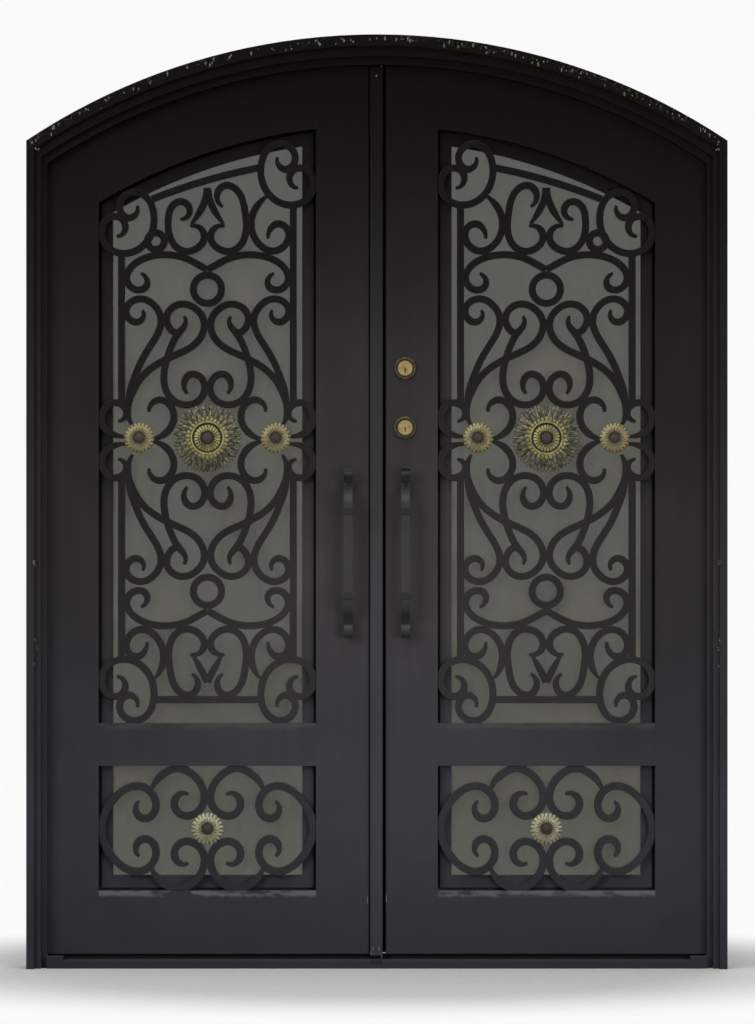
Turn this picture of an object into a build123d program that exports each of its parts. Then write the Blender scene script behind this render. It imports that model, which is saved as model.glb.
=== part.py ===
"""Arched double entry door of wrought iron: a fixed frame, two glazed leaves with scrollwork and
rosettes, pull handles, an astragal and two brass locks. Millimetres, +Z up, the street side at -Y.
The origin is the middle of the threshold's underside."""

import os
from math import radians, sin, sqrt

from build123d import *

os.makedirs("parts", exist_ok=True)

# Frame, seen from the street
frame_width = 1829.0
frame_height = 2438.0
arch_rise = 277.0
frame_depth = 127.0
head_leg_length = 81.0

# The frame steps back towards the leaves: strip widths on the jambs and on the head, and depths
jamb_strips = (20.0, 17.0, 14.5)
head_strips = (30.0, 25.0, 21.0)
strip_depths = (18.0, 22.0)

# Leaves
leaf_thickness = 50.8
leaf_running_gap = 6.0
leaf_lap = 8.0
stop_clearance = 5.0
leaf_foot = 35.0
hinge_stile_width = 142.0
meeting_stile_inner = 159.5
top_rail_height = 165.0
bottom_rail_top = 200.0
middle_rail_bottom = 527.0
middle_rail_top = 639.0
middle_rail_depth = 26.0
stile_edge_radius = 3.0

# Seam between the leaves, with the astragal fixed to the left leaf
astragal_width = 32.0
astragal_centre = -1.0
astragal_lip = 3.0
astragal_head_depth = 9.0
astragal_stand_off = 3.0
astragal_recess = 6.0
astragal_foot = 31.0
seam_clearance = 8.0

# Glazed inner sash of each leaf
sash_gap = 6.5
sash_bar_width = 30.0
sash_top_bar_width = 32.5
sash_bottom_bar_width = 32.5
sash_flange = 8.0
glass_thickness = 6.0
glass_depth_in_sash = 9.0

# Threshold
threshold_height = 21.0
threshold_front_inset = 20.0
sill_pad_length = 43.0
bolt_recess_width = 29.0
bolt_recess_depth = 12.0

# Scrollwork of bent bar
bar_width = 18.5
lower_bar_width = 20.0
bar_depth = 16.0
tip_width = 8.0
taper_length = 40.0
scroll_inset = 4.0
border_offset = 225.0

# Rosettes
centre_rosette_radius = 93.0
leaf_reach = 17.0
side_rosette_radius = 40.5
side_rosette_offset = 179.0
lower_rosette_radius = 43.0
centre_rosette_rise = 6.0
centre_petals = 16
side_petals = 20
inner_tier_radius = 57.0
inner_petals = 24
rim_radius = 40.0
rim_width = 5.0
rim_rise = 3.0
centre_boss_radius = 17.0
small_boss_radius = 13.0
rosette_rise = 6.0

# Pull handles of flat bar
handle_spacing = 75.0
handle_middle = 1084.5
grip_width = 23.5
grip_depth = 16.0
collar_spacing = 221.0
collar_width = 25.0
collar_depth = 19.0
collar_height = 19.0
collar_flare = 18.0
foot_radius = 13.5
foot_thickness = 4.0
foot_neck_radius = 9.0

# Locks
lock_offset = 74.0
upper_lock_height = 1569.0
lower_lock_height = 1413.5
lock_rose_radius = 29.0
lock_dish_radius = 24.5
lock_face_radius = 19.5
lock_rose_depth = 9.0
lock_dish_depth = 4.0
lock_bevel = 3.0
keyhole_width = 3.2
keyhole_height = 12.0
keyhole_drop = 5.0
keyhole_depth = 6.0

# Hinges
hinge_heights = (330.0, 1100.0, 1870.0)
hinge_plate_width = 26.0
hinge_plate_thickness = 4.0
hinge_plate_height = 120.0
knuckle_radius = 10.0
knuckle_gap = 0.4
pin_radius = 5.0
pin_clearance = 0.3
hinge_axis_offset = 3.0
hinge_plate_gap = 1.5
knuckle_arm = 7.0

# Arch: every curve of the head is struck from one centre
half_width = frame_width / 2
springing_height = frame_height - arch_rise
jamb_split_height = springing_height - head_leg_length
frame_arch_radius = (half_width**2 + arch_rise**2) / (2 * arch_rise)
arch_centre = frame_height - frame_arch_radius


def arch_height(x, radius):
    """Height of an arch of that radius above the ground, at x."""
    return arch_centre + sqrt(radius**2 - x**2)


# Depths: the frame lies evenly about Y = 0 and the leaves are flush with its inner face
frame_front = -frame_depth / 2
frame_back = frame_depth / 2
leaf_front = frame_back - leaf_thickness
leaf_back = frame_back
stop_back = leaf_front - stop_clearance
sash_front = leaf_front + middle_rail_depth
scroll_front = leaf_front + scroll_inset
scroll_back = scroll_front + bar_depth

# Widths and radii that follow from the sizes above
stop_inner = half_width - sum(jamb_strips)
leaf_outer = stop_inner + leaf_lap
pocket_inner = leaf_outer + leaf_running_gap
stop_radius = frame_arch_radius - sum(head_strips)
leaf_radius = stop_radius + leaf_lap
pocket_radius = leaf_radius + leaf_running_gap
hinge_stile_inner = leaf_outer - hinge_stile_width
opening_radius = leaf_radius - top_rail_height
panel_centre = (hinge_stile_inner + meeting_stile_inner) / 2
sash_outer_radius = opening_radius - sash_gap
sash_inner_radius = sash_outer_radius - sash_top_bar_width
sash_hinge_outer = hinge_stile_inner - sash_gap
sash_hinge_inner = sash_hinge_outer - sash_bar_width
sash_meeting_outer = meeting_stile_inner + sash_gap
sash_meeting_inner = sash_meeting_outer + sash_bar_width
sash_foot = bottom_rail_top + sash_gap
sash_foot_top = sash_foot + sash_bottom_bar_width
astragal_left = astragal_centre - astragal_width / 2
astragal_right = astragal_centre + astragal_width / 2
left_leaf_edge = astragal_left - astragal_lip
right_leaf_edge = astragal_right + seam_clearance
hinge_axis_x = leaf_outer + hinge_axis_offset
hinge_axis_y = leaf_back + knuckle_radius
knuckle_height = hinge_plate_height / 3


def street_plane(depth):
    """Upright plane at that depth which faces the street."""
    return Plane.XZ.offset(-depth)


def finish(piece, label):
    """Names a finished piece and writes its file."""
    piece.part.label = label
    export_step(piece.part, f"parts/{label}.step")


def area_under_arch(x_start, x_end, foot, radius, mode=Mode.ADD):
    """Adds to the open sketch what lies between two uprights, a level foot and an arch."""
    with BuildLine() as outline:
        feet = Polyline(
            (x_start, arch_height(x_start, radius)),
            (x_start, foot),
            (x_end, foot),
            (x_end, arch_height(x_end, radius)),
        )
        middle = (x_start + x_end) / 2
        ThreePointArc(feet @ 1, (middle, arch_height(middle, radius)), feet @ 0)
    make_face(outline.edges(), mode=mode)


def level_area(x_start, x_end, foot, top, mode=Mode.ADD):
    """Adds to the open sketch an upright rectangle given by its edges."""
    with Locations(((x_start + x_end) / 2, (foot + top) / 2)):
        Rectangle(abs(x_end - x_start), top - foot, mode=mode)


# Frame: three strips that step back to a stop, and a pocket behind the stop for the leaves
strip_fronts = (frame_front, frame_front + strip_depths[0], frame_front + sum(strip_depths))
strip_backs = (strip_fronts[1], strip_fronts[2], stop_back)
frame_levels = []
for level in range(3):
    inner_x = half_width - sum(jamb_strips[: level + 1])
    inner_radius = frame_arch_radius - sum(head_strips[: level + 1])
    frame_levels.append((strip_fronts[level], strip_backs[level], inner_x, inner_radius))
frame_levels.append((stop_back, frame_back, pocket_inner, pocket_radius))

for side, side_name in ((-1, "left"), (1, "right")):
    with BuildPart() as jamb:
        for front, back, inner_x, inner_radius in frame_levels:
            with BuildSketch(street_plane(back)):
                level_area(side * half_width, side * inner_x, 0, jamb_split_height)
            extrude(amount=back - front)
    finish(jamb, f"{side_name}_jamb")

with BuildPart() as arched_head:
    for front, back, inner_x, inner_radius in frame_levels:
        with BuildSketch(street_plane(back)):
            area_under_arch(-half_width, half_width, jamb_split_height, frame_arch_radius)
            area_under_arch(-inner_x, inner_x, jamb_split_height, inner_radius, Mode.SUBTRACT)
        extrude(amount=back - front)
finish(arched_head, "arched_head")

threshold_front = frame_front + threshold_front_inset
sill_pad_height = leaf_foot - stop_clearance
with BuildPart() as threshold:
    with BuildSketch(street_plane(frame_back)):
        level_area(-stop_inner, stop_inner, 0, threshold_height)
        for side in (-1, 1):
            level_area(side * stop_inner, side * (stop_inner - sill_pad_length), 0, sill_pad_height)
    extrude(amount=frame_back - threshold_front)
    with BuildSketch(Plane.XY.offset(threshold_height)):
        with Locations((astragal_centre, threshold_front + bolt_recess_width / 2)):
            Rectangle(bolt_recess_width, bolt_recess_width)
    extrude(amount=-bolt_recess_depth, mode=Mode.SUBTRACT)
finish(threshold, "threshold")


# Scrollwork. Points are (across, up) from the centre of a leaf's panel, with the hinge side
# negative. Each list is the centre line of one bent bar, from one tip to the other. They are drawn
# for panels of the sizes below, and stretched where a panel is wider or taller.
drawn_panel_width = 569.5
drawn_upper_height = 1522.0
drawn_lower_height = 327.0
across_share = (hinge_stile_inner - meeting_stile_inner) / drawn_panel_width
upper_stretch = (across_share, (springing_height - middle_rail_top) / drawn_upper_height)
lower_stretch = (across_share, (middle_rail_bottom - bottom_rail_top) / drawn_lower_height)
corner_scroll = [
    (-184, -700), (-187, -679), (-205, -668), (-224, -679), (-230, -702), (-215, -727),
    (-188, -735), (-160, -722), (-144, -694), (-140, -660), (-149, -622), (-172, -592),
    (-205, -576), (-240, -578), (-267, -597), (-277.5, -628), (-269, -657), (-245, -672),
    (-223, -664), (-215, -644), (-222, -626), (-238, -620),
]
corner_hook = [
    (-159, -529), (-164, -552), (-182, -567), (-204, -560), (-213, -535), (-201, -509),
    (-174, -496), (-146, -505), (-124, -530), (-115, -565), (-121, -598), (-138, -624),
]
tall_heart = [
    (-41, -613), (-27, -628), (-28, -652), (-46, -668), (-68, -663), (-88, -640), (-98, -603),
    (-102, -565), (-97, -530), (-80, -505), (-54, -495), (-28, -503), (-10, -524), (-11, -546),
    (-25, -560), (-45, -561),
]
short_heart = [
    (-71, 580), (-57, 583), (-47, 597), (-50, 614), (-64, 625), (-83, 622), (-97, 606),
    (-103, 575), (-99, 535), (-81, 506), (-54, 495), (-28, 503), (-10, 524), (-11, 546),
    (-25, 560), (-45, 561),
]
heart_stem = [(-42, 567), (-23, 594), (-8, 624), (-1, 662)]
lower_heart_stem = [(-38, -563), (-19, -597), (0, -634)]
wide_scroll = [
    (-175, 437), (-161, 426), (-159, 406), (-178, 394), (-201, 402), (-212, 424), (-203, 450),
    (-178, 471), (-140, 484), (-97, 486), (-57, 477), (-25, 461), (0, 447),
]
outer_scroll = [
    (-171, 341), (-168, 324), (-183, 310), (-204, 317), (-213, 342), (-198, 364), (-168, 370),
    (-139, 353), (-122, 320), (-128, 285), (-150, 247), (-173, 208), (-190, 168), (-203, 130),
    (-212, 95),
]
inner_scroll = [
    (-76, 282), (-89, 284), (-101, 297), (-107, 322), (-90, 349), (-60, 357), (-29, 343), (-9, 311),
    (-14, 277), (-35, 250), (-67, 231), (-105, 214), (-146, 190), (-177, 160), (-198, 122),
    (-209, 85), (-206, 58), (-196, 38),
]
crown_scroll = [
    (-62, 325), (-57, 311), (-62, 297), (-73, 284), (-88, 261), (-105, 217), (-114, 172), (-110, 135),
    (-91, 106), (-62, 93), (-32, 98), (-12, 118), (-8, 146), (-22, 168), (-43, 173), (-59, 158),
    (-61, 138), (-52, 122),
]
waist_scroll = [
    (-152, 74), (-146, 96), (-124, 106), (-100, 94), (-88, 66), (-95, 36), (-117, 13), (-148, 2),
]
side_scroll = [
    (-234, 50), (-218, 58), (-213, 77), (-225, 93), (-248, 98), (-269, 83), (-277.5, 56),
    (-267, 29), (-244, 14), (-214, 10),
]
hub_ring = (0, 396)
hub_ring_radius = 37.0
corner_ring = (-135, 522)
corner_ring_radius = 22.0
crown_border = [(-145, 632), (0, 682), (133, 714)]
side_border_foot = 95.0
bottom_border_height = -680.0
low_corner_shift = 85.0
high_corner_shift = 42.0

# Lower panel, with its own centre half way up
side_bow = [
    (-178, 72), (-188, 50), (-174, 29), (-150, 31), (-135, 58), (-146, 93), (-178, 112),
    (-216, 103), (-254, 66), (-277.5, 0),
]
top_bow = [
    (-147, 98), (-134, 126), (-110, 147), (-78, 158.5), (-39, 142), (-13, 108), (-9, 72), (-30, 41),
    (-60, 34), (-82, 49), (-86, 73), (-70, 92), (-50, 89),
]

panel_centre_rise = 741.5
lower_panel_drop = 1.5
panel_height = middle_rail_top + panel_centre_rise * upper_stretch[1]
lower_panel_height = (bottom_rail_top + middle_rail_bottom) / 2 - lower_panel_drop

# Upper half of a pull handle's centre line: (distance from the leaf's face, height above its middle)
handle_half = [
    (62, 0), (62, 60), (62, 110), (61, 128), (53, 146), (38, 160), (24, 173), (17.5, 188),
    (21, 203), (33, 213), (46, 211), (52, 199), (46, 189),
]
grip_distance = handle_half[0][0]
seat_distance, seat_rise = handle_half[7]


def flipped(points, across=1, up=1, rise_by=0):
    """The same bar turned over left to right or top to bottom, then raised."""
    return [(across * u, up * v + rise_by) for u, v in points]


def stretched(points, stretch):
    """The same points drawn out across and up."""
    return [(u * stretch[0], v * stretch[1]) for u, v in points]


def bar_piece(path, first, last, width_at):
    """Flat outline of a bar between two places on its centre line."""
    length = path.length * (last - first)
    stations = max(4, round(length / 15))
    edges = {-1: [], 1: []}
    for station in range(stations + 1):
        place = first + (last - first) * station / stations
        half = width_at(place) / 2
        spot = path.position_at(place)
        heading = path.tangent_at(place)
        for hand, edge_points in edges.items():
            edge_points.append((spot.X - hand * half * heading.Y, spot.Y + hand * half * heading.X))
    with BuildSketch() as piece:
        with BuildLine():
            left = Spline(*edges[1])
            right = Spline(*edges[-1])
            Line(left @ 0, right @ 0)
            Line(left @ 1, right @ 1)
        make_face()
    return piece.sketch


def bent_bar(
    points, first_tip=tip_width, last_tip=tip_width, pieces=1, width=bar_width, stretch=upper_stretch
):
    """Flat outlines of a bar along a smooth line that thins towards its ends. A bar whose own
    curls touch each other is drawn in two pieces."""
    with BuildLine() as centre:
        Spline(*stretched(points, stretch))
    path = centre.edge()

    def width_at(place):
        along = path.length * place
        from_first = first_tip + (width - first_tip) * min(1, along / taper_length)
        from_last = last_tip + (width - last_tip) * min(1, (path.length - along) / taper_length)
        return min(from_first, from_last)

    return [bar_piece(path, part / pieces, (part + 1) / pieces, width_at) for part in range(pieces)]


def straight_bar(start, end):
    """Flat outline of a straight bar of full width."""
    with BuildSketch() as bar:
        with BuildLine():
            Line(*stretched((start, end), upper_stretch))
        trace(line_width=bar_width)
    return [bar.sketch]


def ring(centre, radius):
    """Flat outline of a bar bent to a closed ring."""
    with BuildSketch() as hoop:
        with Locations(*stretched([centre], upper_stretch)):
            Circle(radius + bar_width / 2)
            Circle(radius - bar_width / 2, mode=Mode.SUBTRACT)
    return [hoop.sketch]


upper_bars = []
for hand in (-1, 1):
    for up in (-1, 1):
        for points in (outer_scroll, crown_scroll, waist_scroll, side_scroll):
            upper_bars += bent_bar(flipped(points, -hand, up))
        upper_bars += bent_bar(flipped(wide_scroll, -hand, up), last_tip=bar_width)
        upper_bars += bent_bar(flipped(inner_scroll, -hand, up), first_tip=bar_width)
    upper_bars += bent_bar(flipped(heart_stem, -hand), last_tip=bar_width)
    upper_bars += bent_bar(flipped(lower_heart_stem, -hand), last_tip=bar_width)
    upper_bars += bent_bar(flipped(corner_scroll, -hand), pieces=2)
    upper_bars += bent_bar(flipped(corner_hook, -hand))
    upper_bars += bent_bar(flipped(tall_heart, -hand))
    upper_bars += straight_bar((hand * border_offset, -side_border_foot), (hand * border_offset, -580))
upper_bars += bent_bar(flipped(corner_scroll, 1, -1, -low_corner_shift), pieces=2)
upper_bars += bent_bar(flipped(corner_scroll, -1, -1, high_corner_shift), pieces=2)
upper_bars += bent_bar(flipped(corner_hook, -1, -1) + [(158, 642)])
upper_bars += bent_bar(short_heart)
upper_bars += bent_bar(flipped(tall_heart, -1, -1))
upper_bars += ring(corner_ring, corner_ring_radius)
upper_bars += ring(hub_ring, hub_ring_radius)
upper_bars += ring((hub_ring[0], -hub_ring[1]), hub_ring_radius)
upper_bars += bent_bar(crown_border, bar_width, bar_width)
upper_bars += straight_bar((-border_offset, side_border_foot), (-border_offset, 493))
upper_bars += straight_bar((border_offset, side_border_foot), (border_offset, 619))
upper_bars += straight_bar((-136, bottom_border_height), (136, bottom_border_height))

lower_bars = []
for hand in (-1, 1):
    bow = flipped(side_bow, -hand)
    bows = [bow + flipped(bow, 1, -1)[-2::-1], flipped(top_bow, -hand), flipped(top_bow, -hand, -1)]
    for points in bows:
        lower_bars += bent_bar(points, width=lower_bar_width, stretch=lower_stretch)


def scrollwork(bars, side, height):
    """Flat outline of a welded panel of bars at its place in one leaf."""
    with BuildSketch() as outline:
        with Locations((-panel_centre, height)):
            add(bars)
        if side > 0:
            mirror(about=Plane.YZ, mode=Mode.REPLACE)
    return outline.sketch


def upright_bar(x_outer, x_inner, foot, radius, front, back):
    """Adds to the open part an upright bar cut to the arch at its top."""
    with BuildSketch(street_plane(back)) as section:
        area_under_arch(x_outer, x_inner, foot, radius)
    extrude(section.sketch, amount=back - front)


def level_bar(x_start, x_end, foot, top, front, back):
    """Adds to the open part a level bar given by its faces."""
    with BuildSketch(street_plane(back)) as section:
        level_area(x_start, x_end, foot, top)
    extrude(section.sketch, amount=back - front)


def round_front_edge(piece, hand):
    """Rounds the long upright edge on the street side of a tube, at its left or right end."""
    front_edges = piece.edges().filter_by(Axis.Z).group_by(Axis.Y)[0].sort_by(Axis.X)
    fillet(front_edges[0 if hand < 0 else -1], radius=stile_edge_radius)


def petal_ring(centre, radius, petals, front, back):
    """Adds to the open part a scalloped disc of rounded petals."""
    petal_radius = radius * sin(radians(180 / petals)) / (1 + sin(radians(180 / petals)))
    with BuildSketch(street_plane(back)) as outline:
        with Locations(centre):
            Circle(radius - petal_radius)
            with PolarLocations(radius - petal_radius, petals):
                Circle(petal_radius)
    extrude(outline.sketch, amount=back - front)


def leaf_ring(centre, radius, leaves, front, back):
    """Adds to the open part a disc of long narrow leaves."""
    disc_radius = radius - leaf_reach
    leaf_half_width = disc_radius * sin(radians(180 / leaves))
    with BuildSketch(street_plane(back)) as outline:
        with Locations(centre):
            Circle(disc_radius)
            with PolarLocations(disc_radius, leaves):
                Ellipse(leaf_reach, leaf_half_width)
    extrude(outline.sketch, amount=back - front)


def boss(centre, radius, front, back, hollow=0):
    """Adds to the open part the round middle of a rosette, or a rim round it."""
    with BuildSketch(street_plane(back)) as outline:
        with Locations(centre):
            Circle(radius)
            if hollow:
                Circle(hollow, mode=Mode.SUBTRACT)
    extrude(outline.sketch, amount=back - front)


def hinge_half(axis_x, hand, height, plate_height):
    """Adds the flat plate of a hinge on the inner face, on one hand of the axis."""
    start = axis_x + hand * (knuckle_radius + hinge_plate_gap)
    with BuildSketch(street_plane(leaf_back + hinge_plate_thickness)) as plate:
        level_area(
            start, start + hand * hinge_plate_width, height - plate_height / 2, height + plate_height / 2
        )
    extrude(plate.sketch, amount=hinge_plate_thickness)


def knuckle(axis_x, hand, height, half_height):
    """Adds a knuckle round the hinge axis with the arm that joins it to its plate."""
    reach = knuckle_radius + hinge_plate_gap
    with BuildSketch(Plane.XY.offset(height - half_height)) as section:
        with Locations((axis_x, hinge_axis_y)):
            Circle(knuckle_radius)
        with Locations((axis_x + hand * reach / 2, leaf_back + knuckle_arm / 2)):
            Rectangle(reach, knuckle_arm)
    extrude(section.sketch, amount=2 * half_height)


for side, side_name in ((-1, "left"), (1, "right")):
    hinge_inner = side * hinge_stile_inner
    meeting_inner = side * meeting_stile_inner
    leaf_edge = left_leaf_edge if side < 0 else right_leaf_edge

    with BuildPart() as hinge_stile:
        upright_bar(side * leaf_outer, hinge_inner, leaf_foot, leaf_radius, leaf_front, leaf_back)
        round_front_edge(hinge_stile, side)
    finish(hinge_stile, f"{side_name}_hinge_stile")

    with BuildPart() as meeting_stile:
        upright_bar(meeting_inner, leaf_edge, leaf_foot, leaf_radius, leaf_front, leaf_back)
        round_front_edge(meeting_stile, -side)
    finish(meeting_stile, f"{side_name}_meeting_stile")

    with BuildPart() as top_rail:
        with BuildSketch(street_plane(leaf_back)):
            area_under_arch(hinge_inner, meeting_inner, jamb_split_height / 2, leaf_radius)
            area_under_arch(
                hinge_inner, meeting_inner, jamb_split_height / 2, opening_radius, Mode.SUBTRACT
            )
        extrude(amount=leaf_thickness)
    finish(top_rail, f"{side_name}_top_rail")

    with BuildPart() as middle_rail:
        level_bar(
            hinge_inner, meeting_inner, middle_rail_bottom, middle_rail_top, leaf_front, sash_front
        )
    finish(middle_rail, f"{side_name}_middle_rail")

    with BuildPart() as bottom_rail:
        level_bar(hinge_inner, meeting_inner, leaf_foot, bottom_rail_top, leaf_front, leaf_back)
    finish(bottom_rail, f"{side_name}_bottom_rail")

    # Inner sash: each bar has a flange at its back that closes the gap round it
    flange_front = leaf_back - sash_flange
    for bar_name, outer, inner, seat in (
        ("hinge", sash_hinge_outer, sash_hinge_inner, hinge_stile_inner),
        ("meeting", sash_meeting_outer, sash_meeting_inner, meeting_stile_inner),
    ):
        with BuildPart() as sash_bar:
            upright_bar(
                side * outer, side * inner, sash_foot, sash_outer_radius, sash_front, leaf_back
            )
            upright_bar(
                side * seat, side * inner, bottom_rail_top, opening_radius, flange_front, leaf_back
            )
        finish(sash_bar, f"{side_name}_sash_{bar_name}_bar")

    with BuildPart() as sash_top:
        for front, outer_radius in (
            (sash_front, sash_outer_radius),
            (flange_front, opening_radius),
        ):
            with BuildSketch(street_plane(leaf_back)):
                area_under_arch(
                    side * sash_hinge_inner, side * sash_meeting_inner, middle_rail_top, outer_radius
                )
                area_under_arch(
                    side * sash_hinge_inner, side * sash_meeting_inner, middle_rail_top,
                    sash_inner_radius, Mode.SUBTRACT,
                )
            extrude(amount=leaf_back - front)
    finish(sash_top, f"{side_name}_sash_top_bar")

    with BuildPart() as sash_bottom:
        for front, foot in ((sash_front, sash_foot), (flange_front, bottom_rail_top)):
            level_bar(
                side * sash_hinge_inner, side * sash_meeting_inner, foot, sash_foot_top, front, leaf_back
            )
    finish(sash_bottom, f"{side_name}_sash_bottom_bar")

    glass_front = sash_front + glass_depth_in_sash
    with BuildPart() as glass:
        upright_bar(
            side * sash_hinge_inner, side * sash_meeting_inner, sash_foot_top, sash_inner_radius,
            glass_front, glass_front + glass_thickness,
        )
    finish(glass, f"{side_name}_glass")

    with BuildPart() as upper_scrollwork:
        with BuildSketch(street_plane(scroll_back)):
            add(scrollwork(upper_bars, side, panel_height))
            area_under_arch(
                hinge_inner, meeting_inner, middle_rail_top, opening_radius, Mode.INTERSECT
            )
        extrude(amount=bar_depth)
    finish(upper_scrollwork, f"{side_name}_upper_scrollwork")

    with BuildPart() as lower_scrollwork:
        with BuildSketch(street_plane(scroll_back)):
            add(scrollwork(lower_bars, side, lower_panel_height))
            level_area(
                hinge_inner, meeting_inner, bottom_rail_top, middle_rail_bottom, Mode.INTERSECT
            )
        extrude(amount=bar_depth)
    finish(lower_scrollwork, f"{side_name}_lower_scrollwork")

    # Rosettes sit on the street side of the bars
    middle = side * panel_centre
    rosette_height = panel_height + centre_rosette_rise
    first_tier = scroll_front - rosette_rise
    second_tier = first_tier - rosette_rise
    third_tier = second_tier - rosette_rise

    with BuildPart() as centre_rosette:
        centre = (middle, rosette_height)
        leaf_ring(centre, centre_rosette_radius, centre_petals, first_tier, scroll_front)
        petal_ring(centre, inner_tier_radius, inner_petals, second_tier, first_tier)
        boss(centre, rim_radius + rim_width, second_tier - rim_rise, second_tier, rim_radius)
        boss(centre, centre_boss_radius, third_tier, second_tier)
    finish(centre_rosette, f"{side_name}_centre_rosette")

    with BuildPart() as side_rosettes:
        for hand in (-1, 1):
            centre = (middle + hand * side_rosette_offset * across_share, rosette_height)
            petal_ring(centre, side_rosette_radius, side_petals, first_tier, scroll_front)
            boss(centre, small_boss_radius, second_tier, first_tier)
    finish(side_rosettes, f"{side_name}_side_rosettes")

    with BuildPart() as lower_rosette:
        centre = (middle, lower_panel_height)
        petal_ring(centre, lower_rosette_radius, side_petals, first_tier, scroll_front)
        boss(centre, small_boss_radius, second_tier, first_tier)
    finish(lower_rosette, f"{side_name}_lower_rosette")

    # Pull handle: a flat bar that bends in to a foot near each end and curls out again, with two
    # flared collars on the grip
    handle_x = side * handle_spacing
    handle_line = flipped(handle_half, 1, -1)[:0:-1] + handle_half
    side_view = [(leaf_front - out, handle_middle + up) for out, up in handle_line]
    with BuildPart() as pull_handle:
        with BuildSketch(Plane.YZ.offset(handle_x - grip_width / 2)):
            add(bent_bar(side_view, width=grip_depth, stretch=(1, 1)))
        extrude(amount=grip_width)
        for up in (-1, 1):
            for radius, depth in ((foot_radius, foot_thickness), (foot_neck_radius, seat_distance)):
                with BuildSketch(street_plane(leaf_front)):
                    with Locations((handle_x, handle_middle + up * seat_rise)):
                        Circle(radius)
                extrude(amount=depth)
            collar_foot = handle_middle + (up * collar_spacing - collar_height) / 2
            with BuildSketch(Plane.XY.offset(collar_foot)):
                with Locations((handle_x, leaf_front - grip_distance)):
                    Rectangle(collar_width, collar_depth)
            extrude(amount=collar_height, taper=-collar_flare)
    finish(pull_handle, f"{side_name}_pull_handle")

    # Barrel hinges on the inner face: the leaf has the middle knuckle, the jamb the outer two
    axis_x = side * hinge_axis_x
    with BuildPart() as leaf_hinges:
        for height in hinge_heights:
            hinge_half(axis_x, -side, height, hinge_plate_height)
            knuckle(axis_x, -side, height, knuckle_height / 2 - knuckle_gap)
            with BuildSketch(Plane.XY.offset(height - hinge_plate_height / 2)):
                with Locations((axis_x, hinge_axis_y)):
                    Circle(pin_radius + pin_clearance)
            extrude(amount=hinge_plate_height, mode=Mode.SUBTRACT)
    finish(leaf_hinges, f"{side_name}_leaf_hinges")

    with BuildPart() as jamb_hinges:
        for height in hinge_heights:
            hinge_half(axis_x, side, height, hinge_plate_height)
            for step in (-1, 1):
                knuckle(axis_x, side, height + step * knuckle_height, knuckle_height / 2)
            with BuildSketch(Plane.XY.offset(height - hinge_plate_height / 2)):
                with Locations((axis_x, hinge_axis_y)):
                    Circle(pin_radius)
            extrude(amount=hinge_plate_height)
    finish(jamb_hinges, f"{side_name}_jamb_hinges")

# Astragal on the left leaf: a raised strip, and behind it a web beside the stile with a recessed
# lip. The web runs up behind the stop of the head, as the stiles do.
strip_back = leaf_front - astragal_stand_off
strip_front = strip_back - astragal_head_depth
astragal_top = arch_height(astragal_left, stop_radius) - stop_clearance
web_right = astragal_right - astragal_lip
lip_front = leaf_front + astragal_recess
with BuildPart() as astragal:
    level_bar(astragal_left, astragal_right, astragal_foot, astragal_top, strip_front, strip_back)
    level_bar(astragal_left, web_right, astragal_foot, astragal_top, strip_back, leaf_front)
    upright_bar(astragal_left, web_right, astragal_foot, leaf_radius, leaf_front, leaf_back)
    upright_bar(left_leaf_edge, astragal_left, astragal_foot, leaf_radius, lip_front, leaf_back)
finish(astragal, "astragal")

# Lock cylinders on the right leaf: a rose with a dished ring round its face
lock_front = leaf_front - lock_rose_depth
for label, lock_height in (("upper_lock", upper_lock_height), ("lower_lock", lower_lock_height)):
    with BuildPart() as lock:
        with BuildSketch(street_plane(leaf_front)):
            with Locations((lock_offset, lock_height)):
                Circle(lock_rose_radius)
        extrude(amount=lock_rose_depth)
        rim = lock.edges().filter_by(GeomType.CIRCLE).sort_by(Axis.Y)[0]
        chamfer(rim, length=lock_bevel)
        with BuildSketch(street_plane(lock_front + lock_dish_depth)):
            with Locations((lock_offset, lock_height)):
                Circle(lock_dish_radius)
                Circle(lock_face_radius, mode=Mode.SUBTRACT)
        extrude(amount=lock_dish_depth, mode=Mode.SUBTRACT)
        with BuildSketch(street_plane(lock_front + keyhole_depth)):
            with Locations((lock_offset, lock_height - keyhole_drop)):
                SlotOverall(keyhole_height, keyhole_width, rotation=90)
        extrude(amount=keyhole_depth, mode=Mode.SUBTRACT)
    finish(lock, label)
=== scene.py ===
"""Looks of an arched double entry door of wrought iron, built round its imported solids.

Metres, in the solids' own frame: +Z up, the street side at -Y, the origin under the threshold."""

import logging
import math
import random
from dataclasses import dataclass
from enum import Enum

import bmesh
import bpy
from mathutils import Matrix, Vector


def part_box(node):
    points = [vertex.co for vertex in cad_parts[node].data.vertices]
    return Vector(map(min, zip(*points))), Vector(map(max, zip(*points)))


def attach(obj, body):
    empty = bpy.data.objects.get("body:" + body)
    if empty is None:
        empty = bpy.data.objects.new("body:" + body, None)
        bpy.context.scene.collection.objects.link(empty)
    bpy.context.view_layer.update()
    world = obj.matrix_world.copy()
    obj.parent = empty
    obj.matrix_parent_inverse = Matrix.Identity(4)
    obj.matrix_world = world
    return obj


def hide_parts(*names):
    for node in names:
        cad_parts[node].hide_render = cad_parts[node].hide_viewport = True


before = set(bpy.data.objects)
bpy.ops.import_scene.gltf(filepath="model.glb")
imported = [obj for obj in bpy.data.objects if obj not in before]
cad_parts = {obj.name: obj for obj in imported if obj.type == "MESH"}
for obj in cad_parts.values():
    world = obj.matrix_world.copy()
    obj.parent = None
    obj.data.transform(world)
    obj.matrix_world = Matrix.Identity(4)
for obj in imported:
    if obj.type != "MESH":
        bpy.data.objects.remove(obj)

log = logging.getLogger("door")

Colour = tuple[float, float, float, float]


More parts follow.
